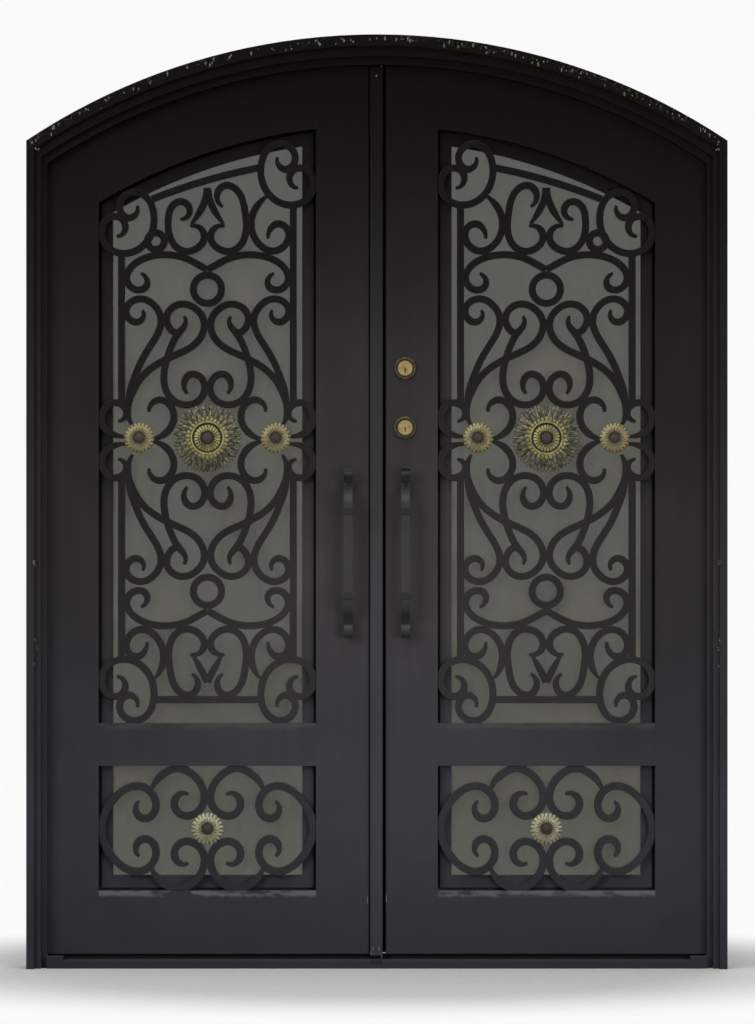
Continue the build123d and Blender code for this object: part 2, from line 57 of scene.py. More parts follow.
def tone(red: int, green: int, blue: int) -> Colour:
    """Linear colour of a paint that is named by its screen values.

    Args:
        red: red from 0 to 255.
        green: green from 0 to 255.
        blue: blue from 0 to 255.

    Returns:
        The colour for a shader socket.
    """
    return (*(((value / 255 + 0.055) / 1.055) ** 2.4 for value in (red, green, blue)), 1.0)


class Body(Enum):
    """The bodies that pieces ride on."""

    FRAME = "frame"
    LEFT = "left_leaf"
    RIGHT = "right_leaf"


class Side(Enum):
    """The two leaves, by the sign of X on which they lie."""

    LEFT = -1
    RIGHT = 1

    @property
    def label(self) -> str:
        """Word that starts the names of the leaf's nodes."""
        return self.name.lower()

    @property
    def body(self) -> Body:
        """The leaf's body."""
        return Body.LEFT if self is Side.LEFT else Body.RIGHT


class Graph:
    """A material's node tree, built one node at a time."""

    def __init__(self, name: str) -> None:
        """Starts an empty tree.

        Args:
            name: the material's name.
        """
        self.material = bpy.data.materials.new(name)
        self.material.use_nodes = True
        self.tree = self.material.node_tree
        self.tree.nodes.clear()

    def add(self, kind: str, inputs: dict | None = None, **settings: object) -> bpy.types.Node:
        """Adds a node.

        Args:
            kind: the node's type without its ShaderNode prefix.
            inputs: values or sockets for its inputs, by name or number.
            settings: the node's own settings.

        Returns:
            The new node.
        """
        node = self.tree.nodes.new(f"ShaderNode{kind}")
        for setting, value in settings.items():
            setattr(node, setting, value)
        for socket, value in (inputs or {}).items():
            if isinstance(value, bpy.types.NodeSocket):
                self.tree.links.new(value, node.inputs[socket])
            else:
                node.inputs[socket].default_value = value
        return node

    def place(self) -> bpy.types.NodeSocket:
        """Place on the piece, in metres."""
        return self.add("TexCoord").outputs["Object"]

    def stretched(self, place: bpy.types.NodeSocket, scale: tuple) -> bpy.types.NodeSocket:
        """A place multiplied along each axis."""
        return self.add("Mapping", {"Vector": place, "Scale": scale}).outputs["Vector"]

    def noise(self, place: bpy.types.NodeSocket, scale: float, detail: float = 4.0,
              roughness: float = 0.55) -> bpy.types.NodeSocket:
        """Cloudy noise.

        Args:
            place: where it is read.
            scale: clouds to a metre.
            detail: number of finer layers.
            roughness: strength of the finer layers.

        Returns:
            The noise, from 0 to 1.
        """
        inputs = {"Vector": place, "Scale": scale, "Detail": detail, "Roughness": roughness}
        return self.add("TexNoise", inputs).outputs["Fac"]

    def spread(self, value: bpy.types.NodeSocket, low: float, high: float, first: float = 0.0,
               last: float = 1.0) -> bpy.types.NodeSocket:
        """A value's range between low and high drawn out to first and last, and cut there."""
        inputs = {"Value": value, "From Min": low, "From Max": high, "To Min": first, "To Max": last}
        return self.add("MapRange", inputs, interpolation_type="SMOOTHSTEP").outputs["Result"]

    def maths(self, operation: str, first: object, second: object) -> bpy.types.NodeSocket:
        """Result of an operation on two numbers or sockets."""
        return self.add("Math", {0: first, 1: second}, operation=operation).outputs[0]

    def blend(self, share: object, first: object, second: object) -> bpy.types.NodeSocket:
        """Colour between two colours."""
        return self.add("Mix", {0: share, 6: first, 7: second}, data_type="RGBA").outputs[2]

    def axis(self, place: bpy.types.NodeSocket, name: str) -> bpy.types.NodeSocket:
        """One coordinate of a place or direction."""
        return self.add("SeparateXYZ", {"Vector": place}).outputs[name]

    def worn_edge(self, radius: float) -> tuple[bpy.types.NodeSocket, bpy.types.NodeSocket]:
        """Rounds the sharp edges in the shading.

        Args:
            radius: radius of the rounding in metres.

        Returns:
            The rounded normal, and how far it is turned from the flat one.
        """
        rounded = self.add("Bevel", {"Radius": radius}, samples=4).outputs["Normal"]
        flat = self.add("NewGeometry").outputs["Normal"]
        agree = self.add("VectorMath", {0: rounded, 1: flat}, operation="DOT_PRODUCT").outputs["Value"]
        return rounded, self.spread(agree, 0.995, 0.8)

    def bump(self, height: bpy.types.NodeSocket, depth: float,
             normal: bpy.types.NodeSocket | None = None) -> bpy.types.NodeSocket:
        """Normal of a surface whose relief is that deep in metres."""
        inputs = {"Height": height, "Distance": depth, "Strength": 1.0}
        if normal:
            inputs["Normal"] = normal
        return self.add("Bump", inputs).outputs["Normal"]

    def finish(self, **inputs: object) -> bpy.types.Material:
        """Ends the tree with a surface shader.

        Args:
            inputs: the shader's inputs, with underscores for spaces.

        Returns:
            The finished material.
        """
        named = {name.replace("_", " "): value for name, value in inputs.items()}
        shader = self.add("BsdfPrincipled", named)
        output = self.add("OutputMaterial")
        self.tree.links.new(shader.outputs["BSDF"], output.inputs["Surface"])
        return self.material


@dataclass(frozen=True)
class IronPaint:
    """Dark satin paint over steel, with light and shade painted into its colour: painted shade makes it
    nearly black under the head, painted light makes it lighter lower down and towards the seam, and a painted
    sky reflection makes it bluish grey near the ground."""

    name: str
    # painted shade under the head (first colour) and painted light lower down and towards the middle (second
    # colour)
    shade: Colour = tone(15, 12, 9)
    painted_light: Colour = tone(73, 70, 71)
    # painted sky reflection near the ground, a bluish grey
    sky_reflection: Colour = tone(62, 64, 72)
    dust: Colour = tone(104, 102, 108)
    # heights over which the painted light grows from none to full, going down
    painted_light_heights: tuple[float, float] = (2.35, 0.75)
    # heights over which the painted sky reflection grows, going down
    sky_reflection_heights: tuple[float, float] = (1.1, 0.2)
    ledge: float = 0.36
    gloss_loss: float = 0.42
    sheen: float = 0.055
    relief: float = 0.00025
    relief_scale: float = 90.0
    edge: float = 0.0016
    wear: Colour = tone(84, 80, 80)
    wear_share: float = 0.35
    splash: float = 0.0
    splash_radius: float = 1.6481
    splash_centre: float = 0.7899
    # band of painted light along the street side's upper edge: a painted highlight where its colour is light,
    # painted shade where it is dark
    painted_band_top: float = 0.0
    painted_band_share: float = 0.0
    painted_band_colour: Colour = tone(112, 112, 116)

    def build(self) -> bpy.types.Material:
        """Builds the material."""
        graph = Graph(self.name)
        place = graph.place()
        height = graph.axis(place, "Z")
        colour = self.base_with_painted_light(graph, place, height)

        up = graph.spread(graph.axis(graph.add("NewGeometry").outputs["Normal"], "Z"), 0.35, 0.95)
        settled = graph.maths("MULTIPLY", up, graph.spread(graph.noise(place, 150, 6), 0.25, 0.75, 0.5, 1.0))
        settled = graph.maths("MULTIPLY", settled, self.ledge)
        colour = graph.blend(settled, colour, self.dust)

        rounded, turned = graph.worn_edge(self.edge)
        chipped = graph.spread(graph.noise(place, 45, 6, 0.7), 0.42, 0.62)
        wear = graph.maths("MULTIPLY", graph.maths("MULTIPLY", turned, chipped), self.wear_share)
        colour = graph.blend(wear, colour, self.wear)
        if self.splash:
            colour = graph.blend(self.splashes(graph, place), colour, tone(116, 110, 96))
        # band of painted light along the street side's upper edge
        if self.painted_band_share:
            colour = graph.blend(self.painted_band(graph, place, height), colour, self.painted_band_colour)

        grain = graph.noise(place, self.relief_scale, 5, 0.6)
        uneven = graph.spread(grain, 0.3, 0.7, self.gloss_loss - 0.07, self.gloss_loss + 0.1)
        dull = graph.maths("ADD", uneven, graph.maths("MULTIPLY", settled, 0.4))
        normal = graph.bump(grain, self.relief, rounded)
        return graph.finish(Base_Color=colour, Roughness=dull, Normal=normal, Specular_IOR_Level=self.sheen)

    def base_with_painted_light(self, graph: Graph, place: bpy.types.NodeSocket,
                  height: bpy.types.NodeSocket) -> bpy.types.NodeSocket:
        """Colour of the paint before dust and wear, with painted shade under the head, painted light lower
        down and towards the middle, a painted bluish sky reflection near the ground, and darker towards the
        foot.

        Args:
            graph: the material's tree.
            place: place on the piece.
            height: its Z.

        Returns:
            The colour.
        """
        # painted light: lighter lower down and towards the middle of the door, over the painted shade under
        # the head
        lower = graph.spread(height, *self.painted_light_heights)
        across = graph.maths("ABSOLUTE", graph.axis(place, "X"), 0.0)
        inner = graph.spread(across, 0.82, 0.05, 0.5, 1.0)
        patches = graph.spread(graph.noise(place, 2.2, 6), 0.3, 0.7, 0.78, 1.12)
        runs = graph.noise(graph.stretched(place, (34, 34, 1.1)), 1.0, 4)
        streaks = graph.spread(runs, 0.3, 0.75, 0.93, 1.07)
        mottle = graph.maths("MULTIPLY", patches, streaks)
        painted_light = graph.maths("MULTIPLY", graph.maths("MULTIPLY", lower, inner), mottle)
        colour = graph.blend(painted_light, self.shade, self.painted_light)
        # painted sky reflection: bluish grey near the ground
        low = graph.spread(height, *self.sky_reflection_heights)
        clouds = graph.spread(graph.noise(place, 5, 5), 0.3, 0.7, 0.5, 0.95)
        colour = graph.blend(graph.maths("MULTIPLY", low, clouds), colour, self.sky_reflection)
        foot = graph.spread(height, 0.4, 0.05, 0.0, 0.2)
        return graph.blend(foot, colour, self.shade)

    def painted_band(self, graph: Graph, place: bpy.types.NodeSocket,
                    height: bpy.types.NodeSocket) -> bpy.types.NodeSocket:
        """Share of the band of painted light along the street side's upper edge: a painted highlight on the
        rails and painted shade on the handle's top.

        Args:
            graph: the material's tree.
            place: place on the piece.
            height: its Z.

        Returns:
            The share, from 0 to 1.
        """
        waves = graph.noise(graph.stretched(place, (60, 60, 8)), 1.0, 4)
        ragged = graph.maths("ADD", height, graph.spread(waves, 0.3, 0.7, -0.002, 0.002))
        band = graph.spread(ragged, self.painted_band_top - 0.019, self.painted_band_top - 0.009)
        band_gaps = graph.spread(graph.noise(graph.stretched(place, (14, 14, 50)), 1.0, 5), 0.36, 0.52)
        street = graph.spread(graph.axis(place, "Y"), 0.03, 0.02, 0.0, self.painted_band_share)
        return graph.maths("MULTIPLY", graph.maths("MULTIPLY", band, band_gaps), street)

    def splashes(self, graph: Graph, place: bpy.types.NodeSocket) -> bpy.types.NodeSocket:
        """Share of old plaster splashes, which lie along the outer edge of the head.

        Args:
            graph: the material's tree.
            place: place on the piece.

        Returns:
            The share, from 0 to 1.
        """
        centred = graph.add("Mapping", {"Vector": place, "Location": (0, 0, -self.splash_centre),
                                        "Scale": (1, 0, 1)}).outputs["Vector"]
        radius = graph.add("VectorMath", {0: centred}, operation="LENGTH").outputs["Value"]
        rim = graph.spread(radius, self.splash_radius - 0.026, self.splash_radius - 0.006)
        spots = graph.spread(graph.noise(place, 110, 8, 0.75), 0.55, 0.62)
        patchy = graph.spread(graph.noise(place, 7, 3), 0.4, 0.6)
        share = graph.maths("MULTIPLY", graph.maths("MULTIPLY", rim, spots), patchy)
        return graph.maths("MULTIPLY", share, self.splash)


@dataclass(frozen=True)
class AgedGold:
    """Gold leaf over cast metal, rubbed bright on its crests and dark in its creases."""

    name: str
    gold: Colour = tone(178, 168, 104)
    deep: Colour = tone(52, 46, 30)
    tarnish: Colour = tone(96, 92, 66)
    tarnish_share: float = 0.55
    bright_from: float = 0.0
    bright_to: float = 0.8
    metal: float = 0.3

    def build(self) -> bpy.types.Material:
        """Builds the material, which reads the attribute named crest."""
        graph = Graph(self.name)
        place = graph.place()
        crest = graph.add("Attribute", attribute_name="crest").outputs["Fac"]
        rubbed = graph.noise(place, 420, 4, 0.65)
        mixed = graph.maths("ADD", crest, graph.spread(rubbed, 0.25, 0.75, -0.34, 0.34))
        share = graph.spread(mixed, self.bright_from, self.bright_to)
        clouds = graph.spread(graph.noise(place, 75, 6), 0.4, 0.62)
        blotch = graph.maths("MULTIPLY", clouds, self.tarnish_share)
        gilt = graph.blend(blotch, self.gold, self.tarnish)
        colour = graph.blend(share, self.deep, gilt)
        dull = graph.spread(share, 0, 1, 0.62, 0.36)
        normal = graph.bump(graph.noise(place, 700, 3), 0.0003)
        return graph.finish(Base_Color=colour, Metallic=self.metal, Roughness=dull, Normal=normal)


@dataclass(frozen=True)
class CylinderBrass:
    """Rubbed brass face of a lock in a dark dish and a dull bronze ring, told apart by the distance
    from its axis, with its keyhole slot drawn in painted shade."""

    name: str
    centre: tuple[float, float]
    face_radius: float = 0.0195
    rim_radius: float = 0.0245
    keyhole: tuple[float, float] = (0.0016, 0.0055)
    keyhole_drop: float = 0.005
    brass: Colour = tone(178, 160, 104)
    worn: Colour = tone(156, 126, 84)
    dish: Colour = tone(62, 50, 24)
    ring: Colour = tone(112, 102, 84)
    tarnish: Colour = tone(70, 62, 44)

    def build(self) -> bpy.types.Material:
        """Builds the material."""
        graph = Graph(self.name)
        place = graph.place()
        centred = graph.add("Mapping", {"Vector": place, "Location": (-self.centre[0], 0, -self.centre[1]),
                                        "Scale": (1, 0, 1)}).outputs["Vector"]
        radius = graph.add("VectorMath", {0: centred}, operation="LENGTH").outputs["Value"]
        clouds = graph.spread(graph.noise(place, 70, 5), 0.36, 0.68)
        face = graph.blend(clouds, self.brass, self.worn)
        # painted shade of the keyhole slot, in the dish's colour
        slot = self.keyhole_shade_share(graph, centred)
        face = graph.blend(graph.maths("MULTIPLY", slot, 0.75), face, self.dish)
        outside = graph.spread(radius, self.face_radius - 0.0012, self.face_radius + 0.0006)
        colour = graph.blend(outside, face, self.dish)
        ring = graph.blend(graph.spread(graph.noise(place, 130, 5), 0.4, 0.66), self.ring, self.tarnish)
        rim = graph.spread(radius, self.rim_radius - 0.0008, self.rim_radius + 0.0012)
        colour = graph.blend(rim, colour, ring)
        scratched = graph.noise(graph.stretched(place, (900, 900, 60)), 1, 3)
        dull = graph.spread(scratched, 0.3, 0.7, 0.3, 0.48)
        rounded, _ = graph.worn_edge(0.0008)
        normal = graph.bump(scratched, 0.00005, rounded)
        return graph.finish(Base_Color=colour, Metallic=0.45, Roughness=dull, Normal=normal)

    def keyhole_shade_share(self, graph: Graph, centred: bpy.types.NodeSocket) -> bpy.types.NodeSocket:
        """Share of the keyhole slot, drawn in painted shade, in the lower half of the face.

        Args:
            graph: the material's tree.
            centred: place from the lock's axis.

        Returns:
            The share, from 0 to 1.
        """
        half_width, half_height = self.keyhole
        across = graph.maths("ABSOLUTE", graph.axis(centred, "X"), 0.0)
        along = graph.maths("ADD", graph.axis(centred, "Z"), self.keyhole_drop)
        inside = graph.spread(across, half_width + 0.0004, half_width - 0.0004)
        level = graph.spread(graph.maths("ABSOLUTE", along, 0.0), half_height + 0.0008, half_height - 0.0004)
        return graph.maths("MULTIPLY", inside, level)


@dataclass(frozen=True)
class TintedGlass:
    """Grey-green insulated glass with a thin layer of dust and rain marks, clouded with painted reflections
    in warm grey and green, more of both lower down.
    """

    name: str
    tint: Colour = tone(158, 158, 146)
    # a dust colour mixed with a painted warm grey reflection, and a painted green reflection
    dust_and_reflection: Colour = tone(134, 128, 110)
    green_reflection: Colour = tone(98, 106, 84)

    def build(self) -> bpy.types.Material:
        """Builds the material."""
        graph = Graph(self.name)
        place = graph.place()
        clouds = graph.spread(graph.noise(place, 5.5, 5), 0.36, 0.68)
        marks = graph.spread(graph.noise(graph.stretched(place, (70, 70, 9)), 1, 6, 0.7), 0.5, 0.74)
        low = graph.spread(graph.axis(place, "Z"), 2.2, 1.3, 0.1, 0.34)
        dust_and_reflection_share = graph.maths("MULTIPLY", low, graph.maths("ADD", graph.maths("MULTIPLY", clouds, 0.7),
                                                         graph.maths("MULTIPLY", marks, 0.5)))
        clear = graph.maths("SUBTRACT", 1.0, dust_and_reflection_share)
        # painted reflections: soft clouds between warm grey and green, laid on with the dust and rain marks
        dust_and_reflection = graph.blend(graph.spread(graph.noise(place, 3.1, 6), 0.42, 0.6), self.dust_and_reflection, self.green_reflection)
        colour = graph.blend(dust_and_reflection_share, self.tint, dust_and_reflection)
        dull = graph.spread(dust_and_reflection_share, 0, 0.4, 0.015, 0.16)
        return graph.finish(Base_Color=colour, Roughness=dull, Transmission_Weight=clear, IOR=1.5)


@dataclass(frozen=True)
class PileSeal:
    """Black brush pile and rubber of the weather seals."""

    name: str
    shade: Colour = tone(16, 15, 15)
    tips: Colour = tone(38, 36, 35)

    def build(self) -> bpy.types.Material:
        """Builds the material."""
        graph = Graph(self.name)
        place = graph.place()
        fibres = graph.noise(graph.stretched(place, (2600, 60, 2600)), 1, 2)
        colour = graph.blend(graph.spread(fibres, 0.35, 0.7), self.shade, self.tips)
        normal = graph.bump(fibres, 0.0006)
        return graph.finish(Base_Color=colour, Roughness=0.9, Normal=normal, Specular_IOR_Level=0.2)


@dataclass(frozen=True)
class DriedPlaster:
    """Old plaster that dripped on the paint."""

    name: str
    light: Colour = tone(132, 124, 106)
    dirty: Colour = tone(78, 72, 60)

    def build(self) -> bpy.types.Material:
        """Builds the material."""
        graph = Graph(self.name)
        place = graph.place()
        clouds = graph.noise(place, 240, 6, 0.7)
        colour = graph.blend(graph.spread(clouds, 0.35, 0.68), self.dirty, self.light)
        normal = graph.bump(clouds, 0.0008)
        return graph.finish(Base_Color=colour, Roughness=0.88, Normal=normal)


@dataclass(frozen=True)
class SteelFastener:
    """Dull steel of screws and rivets."""

    name: str
    light: Colour = tone(150, 146, 140)
    dark: Colour = tone(80, 72, 66)

    def build(self) -> bpy.types.Material:
        """Builds the material."""
        graph = Graph(self.name)
        place = graph.place()
        clouds = graph.noise(place, 900, 4)
        colour = graph.blend(graph.spread(clouds, 0.4, 0.62), self.light, self.dark)
        dull = graph.spread(clouds, 0.3, 0.7, 0.3, 0.55)
        normal = graph.bump(clouds, 0.0001)
        return graph.finish(Base_Color=colour, Metallic=0.9, Roughness=dull, Normal=normal)


class Paintbox:
    """Every finish of the door, each built once."""

    def __init__(self) -> None:
        """Builds the materials."""
        self.head = IronPaint("head_paint", splash=0.7).build()
        self.frame = IronPaint("jamb_paint").build()
        self.leaf = IronPaint("leaf_paint", edge=0.0012).build()
        # the rails carry a painted highlight along their street-side upper edge
        self.low_rail = IronPaint("bottom_rail_paint", edge=0.0012, painted_band_top=0.2,
                                  painted_band_share=0.75).build()
        self.mid_rail = IronPaint("middle_rail_paint", edge=0.0012, painted_band_top=0.639,
                                  painted_band_share=0.16).build()
        self.seam_strip = IronPaint("astragal_paint", edge=0.002, painted_light=tone(74, 72, 74),
                                    sky_reflection=tone(68, 70, 78)).build()
        self.bars = IronPaint("forged_bar_paint", relief=0.0006, relief_scale=70, edge=0.0034, ledge=0.3,
                              painted_light=tone(56, 51, 51), sky_reflection=tone(54, 54, 58), painted_light_heights=(2.0, 0.7),
                              sheen=0.12, gloss_loss=0.38).build()
        # the handle carries painted shade along its top
        self.handle = IronPaint("handle_paint", relief=0.0007, relief_scale=65, edge=0.003, ledge=0.2,
                                painted_light=tone(64, 62, 62), sky_reflection=tone(60, 61, 66), sheen=0.24, gloss_loss=0.34,
                                painted_band_top=1.293, painted_band_share=0.9, painted_band_colour=tone(12, 11, 11)).build()
        self.hinge = IronPaint("hinge_paint", edge=0.001).build()
        self.sill = IronPaint("sill_paint", ledge=0.5, wear_share=0.6, sky_reflection=tone(58, 62, 70)).build()
        self.gold = AgedGold("rosette_gold").build()
        self.warm_gold = AgedGold("side_rosette_gold", gold=tone(158, 150, 106), deep=tone(52, 44, 30),
                                  tarnish=tone(126, 98, 66), tarnish_share=0.4).build()
        self.pale_gold = AgedGold("lower_rosette_gold", gold=tone(184, 178, 146), deep=tone(58, 54, 42),
                                  tarnish_share=0.3).build()
        self.patina = AgedGold("rosette_patina", gold=tone(150, 144, 118), deep=tone(30, 29, 24),
                               tarnish=tone(66, 60, 48), tarnish_share=0.85, bright_from=0.45,
                               bright_to=1.0, metal=0.2).build()
        self.leaf_gold = AgedGold("rosette_leaf_gold", gold=tone(168, 158, 114), deep=tone(38, 36, 27),
                                  tarnish=tone(80, 74, 54), tarnish_share=0.75, bright_from=0.3,
                                  bright_to=1.0).build()
        self.boss = AgedGold("rosette_boss", gold=tone(98, 80, 68), deep=tone(48, 38, 33),
                             tarnish=tone(76, 62, 52), bright_from=-0.3, bright_to=1.4, metal=0.15).build()
        self.crease = AgedGold("rosette_crease", gold=tone(84, 76, 50), deep=tone(50, 44, 30),
                               tarnish=tone(62, 56, 40), metal=0.1).build()
        self.glass = TintedGlass("pane_glass").build()
        self.seal = PileSeal("seal_pile").build()
        self.plaster = DriedPlaster("dried_plaster").build()
        self.steel = SteelFastener("fastener_steel").build()
        self.bare = DriedPlaster("bare_scratch", light=tone(150, 146, 138), dirty=tone(108, 104, 98)).build()


def keep_piece(name: str, mesh: bmesh.types.BMesh, materials: list, body: Body,
               replaces: tuple[str, ...] = (), smooth: bool = True) -> bpy.types.Object:
    """Turns a finished mesh into a piece that rides on a body.

    Args:
        name: the piece's name.
        mesh: its mesh in the door's frame, which is used up.
        materials: its finishes, in the order of its faces' material numbers.
        body: what it rides on.
        replaces: the solids that it stands for.
        smooth: whether its faces are shaded smooth.

    Returns:
        The new object.
    """
    bmesh.ops.recalc_face_normals(mesh, faces=mesh.faces)
    data = bpy.data.meshes.new(name)
    mesh.to_mesh(data)
    mesh.free()
    for material in materials:
        data.materials.append(material)
    data.shade_smooth() if smooth else data.shade_flat()
    piece = bpy.data.objects.new(name, data)
    bpy.context.scene.collection.objects.link(piece)
    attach(piece, body.value)
    if replaces:
        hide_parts(*replaces)
    log.info("%s: %d faces on %s", name, len(data.polygons), body.value)
    return piece


def add_block(mesh: bmesh.types.BMesh, low: tuple, high: tuple, edge: float = 0.0, material: int = 0) -> None:
    """Adds a block with softened edges.

    Args:
        mesh: the mesh that it joins.
        low: its lowest corner.
        high: its highest corner.
        edge: radius of its edges.
        material: number of its material.
    """
    low_corner, high_corner = Vector(low), Vector(high)
    size = high_corner - low_corner
    middle = Matrix.Translation((low_corner + high_corner) / 2) @ Matrix.Diagonal((*size, 1))
    made = bmesh.ops.create_cube(mesh, size=1, matrix=middle)
    faces = {face for vert in made["verts"] for face in vert.link_faces}
    for face in faces:
        face.material_index = material
    if edge:
        edges = {side for face in faces for side in face.edges}
        bmesh.ops.bevel(mesh, geom=list(edges), offset=edge, affect="EDGES", segments=2, profile=0.5,
                        material=-1)


def add_turned(mesh: bmesh.types.BMesh, profile: list[tuple[float, float]], centre: tuple[float, float],
               seat: float, steps: int, material: int = 0) -> list:
    """Adds a turned shape whose axis points at the street.

    Args:
        mesh: the mesh that it joins.
        profile: pairs of radius and lift, from the middle out.
        centre: X and Z of the axis.
        seat: Y of zero lift.
        steps: facets round the axis.
        material: number of its material.

    Returns:
        The new vertices.
    """
    before = set(mesh.verts)
    line = [mesh.verts.new((centre[0] + radius, seat - lift, centre[1])) for radius, lift in profile]
    edges = [mesh.edges.new(pair) for pair in zip(line, line[1:])]
    axis_point = (centre[0], seat, centre[1])
    bmesh.ops.spin(mesh, geom=line + edges, cent=axis_point, axis=(0, -1, 0), dvec=(0, 0, 0), angle=math.tau,
                   steps=steps, use_merge=True)
    made = [vert for vert in mesh.verts if vert not in before]
    for vert in made:
        for face in vert.link_faces:
            face.material_index = material
            face.smooth = True
    bmesh.ops.remove_doubles(mesh, verts=made, dist=0.00002)
    return [vert for vert in mesh.verts if vert not in before]


@dataclass(frozen=True)
class PetalTier:
    """One ring of pressed petals."""

    inner: float
    outer: float
    petals: int
    inner_lift: float
    outer_lift: float
    arch: float
    cup: float
    notch: float
    turn: float = 0.0
    pointed: bool = False
    material: int = 0
    rings: int = 9
    steps: int = 9

    def add_to(self, mesh: bmesh.types.BMesh, centre: tuple[float, float], seat: float) -> None:
        """Adds the ring: a turned disc whose points are then pressed into petals.

        Args:
            mesh: the rosette's mesh.
            centre: X and Z of the rosette.
            seat: Y of the surface that it is fixed to.
        """
        crest = mesh.verts.layers.float["crest"]
        span = self.outer - self.inner
        profile = [(self.inner + span * ring / self.rings, 0.0) for ring in range(self.rings + 1)]
        made = add_turned(mesh, profile, centre, seat, self.petals * self.steps, self.material)
        for vert in made:
            across, up = vert.co.x - centre[0], vert.co.z - centre[1]
            radius, angle = math.hypot(across, up), math.atan2(up, across)
            share = min(1.0, max(0.0, (radius - self.inner) / span))
            phase = (angle / math.tau * self.petals + self.turn) % 1
            middle = 1 - abs(2 * phase - 1) if self.pointed else math.sin(math.pi * phase)
            ridge = abs(math.sin(math.pi * phase)) ** 0.6
            rib = 0.35 * math.exp(-(((phase - 0.5) / 0.09) ** 2))
            pulled = radius * (1 - self.notch * (1 - middle) * share**2)
            lift = self.inner_lift + (self.outer_lift - self.inner_lift) * share
            lift += self.arch * math.sin(math.pi * share)
            lift += self.cup * (ridge - rib) * math.sin(math.pi * min(1, 0.15 + 0.85 * share)) ** 0.5
            vert.co = (centre[0] + pulled * math.cos(angle), seat - lift,
                       centre[1] + pulled * math.sin(angle))
            vert[crest] = ridge * (0.35 + 0.65 * share) - rib * 0.6
        rim = [edge for edge in mesh.edges if edge.is_boundary and edge.verts[0] in made]
        skirt = bmesh.ops.extrude_edge_only(mesh, edges=rim)
        for item in skirt["geom"]:
            if isinstance(item, bmesh.types.BMVert):
                item.co.y = min(seat, item.co.y + 0.002 + self.arch)
                item[crest] = 0.0
            elif isinstance(item, bmesh.types.BMFace):
                item.material_index = self.material


@dataclass
class Rosette:
    """A stack of petal tiers with a beaded boss in the middle."""

    name: str
    body: Body
    centres: tuple[tuple[float, float], ...]
    tiers: tuple[PetalTier, ...]
    boss_radius: float
    boss_lift: float
    bead_radius: float
    beads: int
    replaced: str
    materials: tuple
    seat: float = 0.0167
    rim_radius: float = 0.0
    rim_lift: float = 0.0
    rim_half_width: float = 0.0024

    def build(self) -> None:
        """Builds the rosettes that share a node as one piece."""
        mesh = bmesh.new()
        mesh.verts.layers.float.new("crest")
        for centre in self.centres:
            for tier in self.tiers:
                tier.add_to(mesh, centre, self.seat)
            self.add_boss(mesh, centre)
            if self.rim_radius:
                self.add_rim(mesh, centre)
        keep_piece(self.name, mesh, list(self.materials), self.body, (self.replaced,))

    def add_boss(self, mesh: bmesh.types.BMesh, centre: tuple[float, float]) -> None:
        """Adds the domed middle with its beads."""
        crest = mesh.verts.layers.float["crest"]
        top = self.boss_lift
        profile = [(0.0, top), (self.boss_radius * 0.4, top - 0.0004), (self.boss_radius * 0.7, top - 0.0016),
                   (self.boss_radius * 0.92, top - 0.0035), (self.boss_radius, top - 0.006),
                   (self.boss_radius, 0.001)]
        for vert in add_turned(mesh, profile, centre, self.seat, 40, 2):
            vert[crest] = 0.25
        rings = ((0.0, 1), (0.42, self.beads // 2), (0.78, self.beads))
        for share, count in rings:
            for bead in range(count):
                angle = math.tau * bead / count
                spot = Vector((centre[0] + share * self.boss_radius * math.cos(angle),
                               self.seat - top + 0.0045 * share**3,
                               centre[1] + share * self.boss_radius * math.sin(angle)))
                made = bmesh.ops.create_icosphere(mesh, subdivisions=2, radius=self.bead_radius,
                                                  matrix=Matrix.Translation(spot))
                for vert in made["verts"]:
                    vert[crest] = 1.0
                    for face in vert.link_faces:
                        face.material_index = 2

    def add_rim(self, mesh: bmesh.types.BMesh, centre: tuple[float, float]) -> None:
        """Adds the raised round rim between the inner and the outer petals."""
        crest = mesh.verts.layers.float["crest"]
        profile = []
        for step in range(9):
            angle = math.pi * step / 8
            profile.append((self.rim_radius - self.rim_half_width * math.cos(angle),
                            self.rim_lift + self.rim_half_width * math.sin(angle)))
        for vert in add_turned(mesh, profile, centre, self.seat, 96, 0):
            vert[crest] = 0.75


@dataclass
class SeamSeals:
    """Brush seals: one closes the seam between the leaves, two sweep over the threshold."""

    finishes: Paintbox
    seam: tuple[float, float] = (0.0122, 0.0231)
    seam_depths: tuple[float, float] = (0.0585, 0.0632)
    foot: float = 0.0355
    top: float = 2.3693
    sweep_low: float = 0.0185
    sweep_depths: tuple[float, float] = (0.028, 0.036)
    seam_ends: tuple[tuple[Side, float], ...] = ((Side.LEFT, 0.0118), (Side.RIGHT, 0.0126))
    sweep_end: float = 0.8194
    pad_seal_low: float = 0.0304
    leaf_edge: float = 0.8695

    def build(self) -> None:
        """Builds the three seals."""
        mesh = bmesh.new()
        add_block(mesh, (self.seam[0], self.seam_depths[0], self.foot),
                  (self.seam[1], self.seam_depths[1], self.top), 0.0008)
        keep_piece("seam_brush", mesh, [self.finishes.seal], Body.RIGHT)
        for side, seam_end in self.seam_ends:
            mesh = bmesh.new()
            pieces = ((seam_end, side.value * self.sweep_end, self.sweep_low),
                      (side.value * self.sweep_end, side.value * self.leaf_edge, self.pad_seal_low))
            for start, end, low in pieces:
                add_block(mesh, (min(start, end), self.sweep_depths[0], low),
                          (max(start, end), self.sweep_depths[1], 0.0349), 0.0008)
            keep_piece(f"{side.label}_door_sweep", mesh, [self.finishes.seal], side.body)


